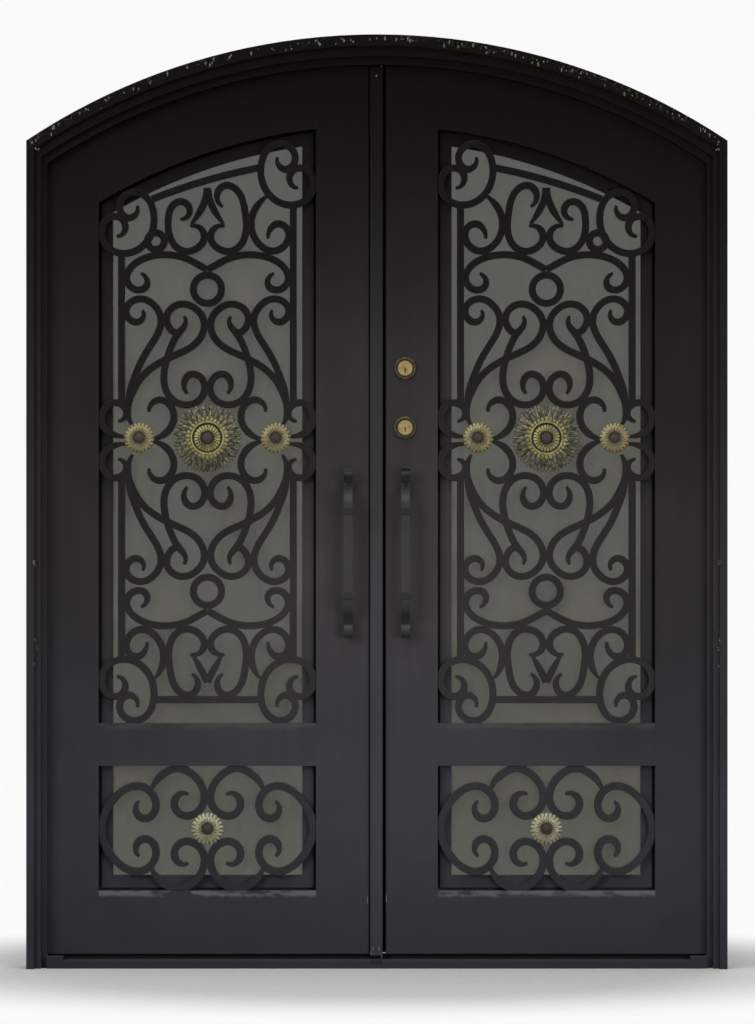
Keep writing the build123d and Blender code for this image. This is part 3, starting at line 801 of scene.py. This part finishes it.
@dataclass
class PlasterSplashes:
    """Drips of old plaster along the outer edge of the head and on the jambs."""

    finishes: Paintbox
    radius: float = 1.6481
    centre_height: float = 0.7899
    face: float = -0.0635
    half_span: float = 0.9
    drips: int = 110
    seed: int = 11
    chips: tuple[tuple[float, float, float], ...] = (
        (0.886, 2.145, 0.011), (0.894, 1.057, 0.008), (0.892, 0.857, 0.006), (0.889, 0.838, 0.007),
        (0.893, 0.792, 0.006),
    )

    def build(self) -> None:
        """Builds every drip as one piece."""
        dice = random.Random(self.seed)
        mesh = bmesh.new()
        for _ in range(self.drips):
            across = dice.uniform(-self.half_span, self.half_span)
            inset = 0.009 + 0.016 * dice.random() ** 1.8
            radius = self.radius - inset
            up = self.centre_height + math.sqrt(radius**2 - across**2)
            self.add_drip(mesh, dice, across, up, dice.uniform(0.0009, 0.0026), dice.uniform(1.0, 2.8))
        for side in Side:
            for across, up, size in self.chips:
                for _ in range(4):
                    self.add_drip(mesh, dice, side.value * across + dice.uniform(-size, size) * 0.5,
                                  up + dice.uniform(-size, size), size * dice.uniform(0.12, 0.34),
                                  dice.uniform(0.8, 1.6))
        keep_piece("plaster_splashes", mesh, [self.finishes.plaster], Body.FRAME)

    def add_drip(self, mesh: bmesh.types.BMesh, dice: random.Random, across: float, up: float, size: float,
                 length: float) -> None:
        """Adds one drip on the frame's face.

        Args:
            mesh: the mesh that it joins.
            dice: the seeded source of its raggedness.
            across: its X.
            up: its Z.
            size: half its width.
            length: its length over its width.
        """
        add_drop(mesh, dice, (across, self.face, up), size, length)


@dataclass
class BareScratches:
    """Short scratches by the foot of the seam, where the paint is gone."""

    finishes: Paintbox
    seed: int = 5
    left: tuple[tuple[float, float, float, float], ...] = (
        (-0.0246, 0.0127, 0.176, 0.0125), (-0.0098, 0.0007, 0.0495, 0.006), (-0.0154, 0.0007, 0.0385, 0.006),
        (0.0055, 0.0007, 0.0495, 0.006),
    )
    right: tuple[tuple[float, float, float, float], ...] = ((0.0246, 0.0127, 0.1785, 0.0105),)

    def build(self) -> None:
        """Builds the scratches of both leaves."""
        dice = random.Random(self.seed)
        for label, body, places in (("left", Body.LEFT, self.left), ("right", Body.RIGHT, self.right)):
            mesh = bmesh.new()
            for across, face, up, half in places:
                add_drop(mesh, dice, (across, face, up), 0.0009, half / 0.0009)
                add_drop(mesh, dice, (across + 0.0009, face, up - half * 0.3), 0.0006, half / 0.0012)
            keep_piece(f"{label}_seam_scratches", mesh, [self.finishes.bare], body)


def add_drop(mesh: bmesh.types.BMesh, dice: random.Random, place: tuple[float, float, float], size: float,
             length: float) -> None:
    """Adds one flattened drop with a ragged edge.

    Args:
        mesh: the mesh that it joins.
        dice: the seeded source of its raggedness.
        place: its middle.
        size: half its width.
        length: its length over its width.
    """
    flat = Matrix.Translation(place) @ Matrix.Diagonal((size, 0.0006, size * length, 1))
    drop = bmesh.ops.create_icosphere(mesh, subdivisions=2, radius=1.0, matrix=flat)
    for vert in drop["verts"]:
        vert.co.x += dice.uniform(-0.18, 0.18) * size
        vert.co.z += dice.uniform(-0.18, 0.18) * size


@dataclass
class Hinges:
    """Round caps on the hinge barrels and countersunk screws in the hinge plates."""

    finishes: Paintbox
    heights: tuple[float, ...] = (0.330, 1.100, 1.870)
    axis: tuple[float, float] = (0.874, 0.0735)
    barrel_half: float = 0.060
    plate_face: float = 0.0675
    screw_rows: tuple[float, ...] = (-0.045, 0.0, 0.045)
    screw_offset: float = 0.026
    screw_radius: float = 0.0042

    def build(self) -> None:
        """Builds the caps and screws of both sides."""
        for side in Side:
            caps = bmesh.new()
            for height in self.heights:
                for end in (-1, 1):
                    self.add_cap(caps, side, height, end)
            keep_piece(f"{side.label}_hinge_caps", caps, [self.finishes.hinge], Body.FRAME)
            for hand, body, owner in ((-1, side.body, "leaf"), (1, Body.FRAME, "jamb")):
                screws = bmesh.new()
                for height in self.heights:
                    for row in self.screw_rows:
                        spot = (side.value * (self.axis[0] + hand * self.screw_offset), height + row)
                        self.add_screw(screws, spot)
                keep_piece(f"{side.label}_{owner}_hinge_screws", screws, [self.finishes.steel], body,
                           smooth=False)

    def add_cap(self, mesh: bmesh.types.BMesh, side: Side, height: float, end: int) -> None:
        """Adds a turned cap at one end of a barrel."""
        profile = ((0.0, 0.009), (0.004, 0.0082), (0.0068, 0.0056), (0.0062, 0.003), (0.0085, 0.0018),
                   (0.0085, -0.001))
        line = [mesh.verts.new((side.value * self.axis[0] + radius, self.axis[1],
                                height + end * (self.barrel_half + rise))) for radius, rise in profile]
        edges = [mesh.edges.new(pair) for pair in zip(line, line[1:])]
        centre = (side.value * self.axis[0], self.axis[1], height)
        bmesh.ops.spin(mesh, geom=line + edges, cent=centre, axis=(0, 0, 1), dvec=(0, 0, 0), angle=math.tau,
                       steps=24, use_merge=True)
        bmesh.ops.remove_doubles(mesh, verts=mesh.verts, dist=0.00002)

    def add_screw(self, mesh: bmesh.types.BMesh, spot: tuple[float, float]) -> None:
        """Adds a flat screw head with a crossed slot."""
        turn = Matrix.Translation((spot[0], self.plate_face, spot[1])) @ Matrix.Rotation(math.pi / 2, 4, "X")
        bmesh.ops.create_cone(mesh, cap_ends=True, segments=20, radius1=self.screw_radius,
                              radius2=self.screw_radius * 0.92, depth=0.0012, matrix=turn)
        for long, short in ((0.0042, 0.0009), (0.0009, 0.0042)):
            add_block(mesh, (spot[0] - long / 2, self.plate_face + 0.0005, spot[1] - short / 2),
                      (spot[0] + long / 2, self.plate_face + 0.0009, spot[1] + short / 2))


class Door:
    """The whole door: its solids dressed, and the pieces that only the looks have."""

    def __init__(self) -> None:
        """Builds the finishes."""
        self.finishes = Paintbox()

    def dress_solids(self) -> None:
        """Gives each solid that stays in view its finish."""
        paints = self.finishes
        endings = {
            "jamb": paints.frame, "arched_head": paints.head, "threshold": paints.sill,
            "hinges": paints.hinge,
            "scrollwork": paints.bars, "pull_handle": paints.handle, "glass": paints.glass,
            "bottom_rail": paints.low_rail, "middle_rail": paints.mid_rail, "astragal": paints.seam_strip,
        }
        for name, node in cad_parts.items():
            fitting = (paint for ending, paint in endings.items() if name.endswith(ending))
            material = next(fitting, paints.leaf)
            if name.endswith("_lock"):
                low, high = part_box(name)
                centre = ((low[0] + high[0]) / 2, (low[2] + high[2]) / 2)
                material = CylinderBrass(f"{name}_brass", centre).build()
            for holder in node.material_slots:
                holder.material = material
            log.info("%s dressed in %s", name, material.name)

    def build_rosettes(self) -> None:
        """Builds the rosettes of both leaves."""
        paints = self.finishes
        leaves = PetalTier(0.036, 0.0925, 26, 0.0085, 0.0042, 0.0028, 0.0036, 0.26, pointed=True, material=1)
        under_leaves = PetalTier(0.036, 0.0915, 26, 0.006, 0.0018, 0.001, 0.0026, 0.2, turn=0.5, pointed=True,
                                 material=1)
        middle_leaves = PetalTier(0.036, 0.076, 26, 0.0108, 0.0078, 0.0018, 0.0028, 0.26, turn=0.5,
                                  pointed=True, material=3)
        wreath = PetalTier(0.040, 0.060, 30, 0.0125, 0.0098, 0.0012, 0.0022, 0.16)
        dish = PetalTier(0.0178, 0.0362, 24, 0.0128, 0.0085, -0.0005, 0.0018, 0.05)
        moat = PetalTier(0.0145, 0.0405, 24, 0.0098, 0.0092, 0.0, 0.0003, 0.0, material=4)
        ray = PetalTier(0.0155, 0.0405, 22, 0.0065, 0.0022, 0.0018, 0.0024, 0.06)
        ray_over = PetalTier(0.0155, 0.033, 22, 0.0082, 0.006, 0.001, 0.0018, 0.1, turn=0.5)
        low_ray = PetalTier(0.0155, 0.043, 22, 0.0065, 0.0022, 0.0018, 0.0024, 0.06)
        hollow = PetalTier(0.0115, 0.019, 22, 0.0062, 0.0056, 0.0, 0.0002, 0.0, material=1)
        centre_finishes = (paints.gold, paints.patina, paints.boss, paints.leaf_gold, paints.crease)
        side_finishes = (paints.warm_gold, paints.crease, paints.boss)
        lower_finishes = (paints.pale_gold, paints.crease, paints.boss)
        for side in Side:
            centre_x, side_xs, height = self.rosette_places(side)
            low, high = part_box(f"{side.label}_lower_rosette")
            low_centre = ((low[0] + high[0]) / 2, (low[2] + high[2]) / 2)
            Rosette(f"{side.label}_centre_rosette_petals", side.body, ((centre_x, height),),
                    (under_leaves, leaves, middle_leaves, wreath, moat, dish), 0.0152, 0.0168, 0.0015, 12,
                    f"{side.label}_centre_rosette", centre_finishes,
                    rim_radius=0.0418, rim_lift=0.0122).build()
            Rosette(f"{side.label}_side_rosette_petals", side.body, tuple((x, height) for x in side_xs),
                    (ray, ray_over, hollow), 0.0132, 0.0105, 0.0014, 10, f"{side.label}_side_rosettes",
                    side_finishes).build()
            Rosette(f"{side.label}_lower_rosette_petals", side.body, (low_centre,),
                    (low_ray, ray_over, hollow), 0.0132, 0.0105, 0.0014, 10,
                    f"{side.label}_lower_rosette", lower_finishes).build()

    def rosette_places(self, side: Side) -> tuple[float, tuple[float, float], float]:
        """Places of the upper rosettes, read from their solids.

        Args:
            side: the leaf.

        Returns:
            X of the centre rosette, X of the side rosettes, and their height.
        """
        low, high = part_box(f"{side.label}_centre_rosette")
        centre_x, height = (low[0] + high[0]) / 2, (low[2] + high[2]) / 2
        low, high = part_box(f"{side.label}_side_rosettes")
        radius = (high[2] - low[2]) / 2
        return centre_x, (low[0] + radius, high[0] - radius), height

    def build_rivet(self) -> None:
        """Builds the small bright rivet near the top of the astragal."""
        mesh = bmesh.new()
        profile = [(0.0, 0.0024), (0.0016, 0.0021), (0.0028, 0.0012), (0.0033, 0.0), (0.0033, -0.0008)]
        add_turned(mesh, profile, (-0.0015, 2.334), 0.0007, 20)
        keep_piece("astragal_rivet", mesh, [self.finishes.steel], Body.LEFT)

    def build(self) -> None:
        """Dresses and builds everything."""
        self.dress_solids()
        self.build_rosettes()
        self.build_rivet()
        SeamSeals(self.finishes).build()
        PlasterSplashes(self.finishes).build()
        BareScratches(self.finishes).build()
        Hinges(self.finishes).build()


@dataclass
class Studio:
    """Pale floor, soft lights and the camera at the photograph's angle."""

    view_width: float = 1.9766
    view_centre: tuple[float, float] = (0.0016, 1.1923)
    distance: float = 16.0
    white: float = 0.95
    surround: float = 0.3

    def build(self) -> None:
        """Builds the floor, the surround, the lights and the camera."""
        self.build_floor()
        self.build_surround()
        self.add_light("front_key", (-3.6, -5.5, 3.0), (0, 0, 1.2), 2.6, 125)
        self.add_light("front_low", (2.5, -5.0, 0.6), (0, 0, 0.8), 2.2, 88)
        self.add_light("overhead", (0, -2.2, 4.6), (0, 0, 0.3), 3.0, 60)
        self.add_light("back_soft", (2.5, 6.0, 3.2), (0, 0, 1.2), 3.0, 120)
        self.build_camera()
        bpy.context.scene.view_settings.view_transform = "Standard"

    def build_floor(self) -> None:
        """Builds the floor, which fades into the white surround far from the door."""
        mesh = bmesh.new()
        bmesh.ops.create_circle(mesh, cap_ends=True, segments=96, radius=40)
        data = bpy.data.meshes.new("floor")
        mesh.to_mesh(data)
        mesh.free()
        floor = bpy.data.objects.new("floor", data)
        bpy.context.scene.collection.objects.link(floor)
        graph = Graph("studio_floor")
        place = graph.place()
        far = graph.add("VectorMath", {0: place}, operation="LENGTH").outputs["Value"]
        rays = graph.add("LightPath").outputs
        fade = graph.maths("MULTIPLY", graph.spread(far, 0.85, 1.7), rays["Is Camera Ray"])
        speckle = graph.spread(graph.noise(place, 30, 5), 0.3, 0.7)
        pale = graph.blend(speckle, tone(232, 232, 230), tone(238, 238, 236))
        seen = graph.blend(rays["Is Camera Ray"], tone(140, 140, 140), pale)
        matt = graph.add("BsdfDiffuse", {"Color": seen})
        glow = graph.add("Emission", {"Color": (self.white, self.white, self.white, 1)})
        mixed = graph.add("MixShader", {0: fade, 1: matt.outputs[0], 2: glow.outputs[0]})
        level = graph.add("Emission", {"Color": (self.surround, self.surround, self.surround * 1.04, 1)})
        behind = graph.add("MixShader", {0: rays["Is Transmission Ray"], 1: mixed.outputs[0],
                                         2: level.outputs[0]})
        graph.tree.links.new(behind.outputs[0], graph.add("OutputMaterial").inputs["Surface"])
        data.materials.append(graph.material)

    def build_surround(self) -> None:
        """Builds the world: white to the eye, and a soft grey as light."""
        world = bpy.data.worlds.new("studio")
        bpy.context.scene.world = world
        world.use_nodes = True
        tree = world.node_tree
        tree.nodes.clear()
        seen = tree.nodes.new("ShaderNodeBackground")
        seen.inputs[0].default_value = (self.white, self.white, self.white, 1)
        light = tree.nodes.new("ShaderNodeBackground")
        light.inputs[0].default_value = (self.surround, self.surround, self.surround * 1.04, 1)
        mixer = tree.nodes.new("ShaderNodeMixShader")
        path = tree.nodes.new("ShaderNodeLightPath")
        output = tree.nodes.new("ShaderNodeOutputWorld")
        tree.links.new(path.outputs["Is Camera Ray"], mixer.inputs[0])
        tree.links.new(light.outputs[0], mixer.inputs[1])
        tree.links.new(seen.outputs[0], mixer.inputs[2])
        tree.links.new(mixer.outputs[0], output.inputs["Surface"])

    def add_light(self, name: str, place: tuple, target: tuple, size: float, power: float) -> None:
        """Adds a square soft light.

        Args:
            name: its name.
            place: where it stands.
            target: what it points at.
            size: its side in metres.
            power: its power in watts.
        """
        data = bpy.data.lights.new(name, "AREA")
        data.size = size
        data.energy = power
        lamp = bpy.data.objects.new(name, data)
        lamp.location = place
        lamp.rotation_euler = (Vector(target) - Vector(place)).to_track_quat("-Z", "Y").to_euler()
        bpy.context.scene.collection.objects.link(lamp)

    def build_camera(self) -> None:
        """Builds the camera, straight in front and far away as in the photograph."""
        data = bpy.data.cameras.new("camera")
        camera = bpy.data.objects.new("camera", data)
        bpy.context.scene.collection.objects.link(camera)
        data.sensor_width = 36
        data.clip_end = 200
        data.lens = 36 * self.distance / (self.view_width * 1024 / 755)
        camera.location = (self.view_centre[0], -self.distance, self.view_centre[1])
        camera.rotation_euler = (math.pi / 2, 0, 0)
        bpy.context.scene.camera = camera


def main() -> None:
    """Builds the door and its studio."""
    logging.basicConfig(level=logging.INFO, format="%(message)s")
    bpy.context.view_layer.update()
    Door().build()
    Studio().build()


if __name__ == "__main__":
    main()
